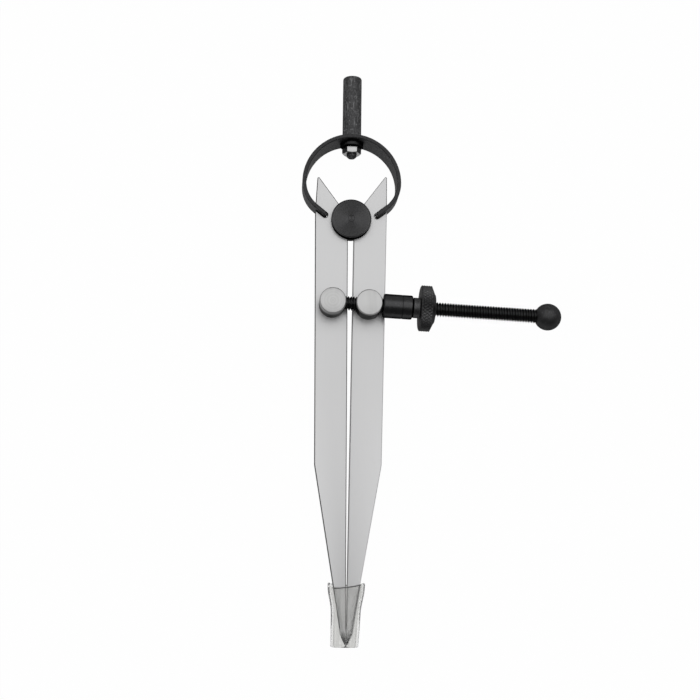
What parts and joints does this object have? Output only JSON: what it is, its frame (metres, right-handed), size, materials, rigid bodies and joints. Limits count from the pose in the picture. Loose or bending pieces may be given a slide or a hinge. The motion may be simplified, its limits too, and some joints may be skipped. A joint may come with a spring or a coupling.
{
  "type": "wing divider",
  "caption": "Spring wing divider: flat steel legs on a fulcrum stud, a black bow spring with a turning stem, an adjusting screw with a knurled nut, and a clear guard over the points.",
  "frame": {"origin": "centre of the fulcrum's rear flat face, on the axis that both legs turn about", "axes": "+X to the right, +Y along the tool from the points to the stem, +Z from the rear face to the studs"},
  "size_m": [0.0771, 0.1701, 0.0168],
  "materials": {
    "brushed_steel": "lengthwise brushed",
    "turned_steel": "fine turned",
    "black_oxide": "satin black oxide",
    "clear_vinyl": "clear soft vinyl"
  },
  "bodies": {
    "handle": {"fulcrum_stud": "black_oxide", "fulcrum_back_disc": "black_oxide", "bow_spring": "black_oxide", "handle_stem": "black_oxide", "crown_washer": "black_oxide", "crown_nut": "turned_steel"},
    "left_leg": {"left_leg": "brushed_steel"},
    "right_leg": {"right_leg": "brushed_steel"},
    "screw": {"left_stud": "turned_steel", "left_stud_washer": "turned_steel", "adjusting_screw": "black_oxide"},
    "right_stud": {"right_stud": "turned_steel", "right_stud_washer": "turned_steel"},
    "sleeve": {"thrust_sleeve": "black_oxide"},
    "nut": {"adjusting_nut": "black_oxide"},
    "guard": {"tip_guard": "clear_vinyl"}
  },
  "joints": [
    {"name": "left_leg_open", "type": "hinge", "parent": "handle", "child": "left_leg", "pos_m": [0, 0, 0.003], "axis": [0, 0, -1], "range_deg": [0, 33], "deforming": ["bow_spring", "tip_guard"]},
    {"name": "right_leg_open", "type": "hinge", "parent": "handle", "child": "right_leg", "pos_m": [0, 0, 0.003], "axis": [0, 0, 1], "range_deg": [0, 33]},
    {"name": "screw_swing", "type": "hinge", "parent": "left_leg", "child": "screw", "pos_m": [-0.00535, -0.02605, 0.0045], "axis": [0, 0, 1], "range_deg": [0, 35.7]},
    {"name": "right_stud_swivel", "type": "hinge", "parent": "right_leg", "child": "right_stud", "pos_m": [0.00535, -0.0264, 0.0045], "axis": [0, 0, -1], "range_deg": [0, 30.5]},
    {"name": "nut_travel", "type": "slide", "parent": "screw", "child": "sleeve", "axis": [0.999, -0.0454, 0], "range_m": [0, 0.0295]},
    {"name": "nut_spin", "type": "hinge", "parent": "sleeve", "child": "nut", "pos_m": [0.00954, -0.02673, 0.00825], "axis": [0.999, -0.0454, 0], "continuous": true},
    {"name": "guard_pull", "type": "slide", "parent": "left_leg", "child": "guard", "axis": [0, -1, 0], "range_m": [0, 0.022]}
  ],
  "couplings": [
    {"joint": "right_leg_open", "follows": "left_leg_open", "ratio": 1},
    {"joint": "screw_swing", "follows": "left_leg_open", "ratio": 1.0788},
    {"joint": "right_stud_swivel", "follows": "left_leg_open", "ratio": 0.9212},
    {"joint": "nut_travel", "follows": "left_leg_open", "m_per_rad": 0.051}
  ]
}
